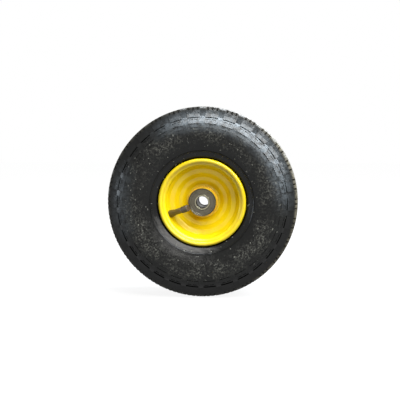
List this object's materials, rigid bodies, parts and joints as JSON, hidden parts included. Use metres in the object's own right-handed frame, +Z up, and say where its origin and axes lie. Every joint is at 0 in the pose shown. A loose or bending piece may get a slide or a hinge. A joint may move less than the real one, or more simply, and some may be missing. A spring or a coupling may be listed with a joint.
{
  "type": "trolley wheel",
  "caption": "Pneumatic trolley wheel: block-treaded black tyre on a yellow dished steel rim with a slanted valve and a ball-bearing hub, turning freely on a plain axle.",
  "frame": {"origin": "centre of the wheel, on the axle bore's axis and the tyre's mid-plane", "axes": "+Y along the axle, away from the face that has the valve; +Z up; +X to the right, seen from that face"},
  "size_m": [0.26, 0.0856, 0.26],
  "materials": {
    "tyre_rubber": "matt black with dust in its pattern",
    "tube_rubber": "smooth",
    "rim_paint": "glossy golden yellow",
    "hub_paint": "glossy golden yellow",
    "spacer_steel": "plain",
    "ring_steel": "ground",
    "ball_steel": "polished",
    "cage_steel": "pressed",
    "shield_steel": "pressed, lightly oiled",
    "stem_rubber": "smooth black",
    "valve_brass": "dull",
    "core_brass": "dull",
    "pin_steel": "plain",
    "spring_steel": "plain",
    "seal_rubber": "smooth",
    "cap_plastic": "fluted black"
  },
  "bodies": {
    "axle_rings": {"front_inner_ring": "ring_steel", "rear_inner_ring": "ring_steel", "bearing_spacer": "spacer_steel"},
    "wheel": {"tyre": "tyre_rubber", "inner_tube": "tube_rubber", "rim_front": "rim_paint", "rim_rear": "rim_paint", "hub_tube": "hub_paint", "front_outer_ring": "ring_steel", "rear_outer_ring": "ring_steel", "front_shield_outer": "shield_steel", "front_shield_inner": "shield_steel", "rear_shield_outer": "shield_steel", "rear_shield_inner": "shield_steel", "valve_stem": "stem_rubber", "valve_insert": "valve_brass", "valve_core_body": "core_brass", "valve_core_spring": "spring_steel"},
    "front_ball_set": {"front_balls": "ball_steel", "front_cage_outer": "cage_steel", "front_cage_inner": "cage_steel", "front_cage_rivets": "cage_steel"},
    "rear_ball_set": {"rear_balls": "ball_steel", "rear_cage_outer": "cage_steel", "rear_cage_inner": "cage_steel", "rear_cage_rivets": "cage_steel"},
    "valve_cap": {"valve_cap": "cap_plastic"},
    "valve_pin": {"valve_core_pin": "pin_steel", "valve_core_seal": "seal_rubber"}
  },
  "joints": [
    {"name": "wheel_spin", "type": "hinge", "parent": "axle_rings", "child": "wheel", "pos_m": [0, 0, 0], "axis": [0, 1, 0], "continuous": true},
    {"name": "front_ball_roll", "type": "hinge", "parent": "axle_rings", "child": "front_ball_set", "pos_m": [0, -0.0226, 0], "axis": [0, 1, 0], "continuous": true},
    {"name": "rear_ball_roll", "type": "hinge", "parent": "axle_rings", "child": "rear_ball_set", "pos_m": [0, 0.0226, 0], "axis": [0, 1, 0], "continuous": true},
    {"name": "valve_cap_off", "type": "slide", "parent": "wheel", "child": "valve_cap", "axis": [0.7748, -0.558, 0.2974], "range_m": [0, 0.01]},
    {"name": "valve_pin_press", "type": "slide", "parent": "wheel", "child": "valve_pin", "axis": [-0.7748, 0.558, -0.2974], "range_m": [0, 0.0012], "stiffness_N_per_m": 800, "deforming": ["valve_core_spring"]}
  ],
  "couplings": [
    {"joint": "front_ball_roll", "follows": "wheel_spin", "ratio": 0.6167},
    {"joint": "rear_ball_roll", "follows": "wheel_spin", "ratio": 0.6167}
  ]
}
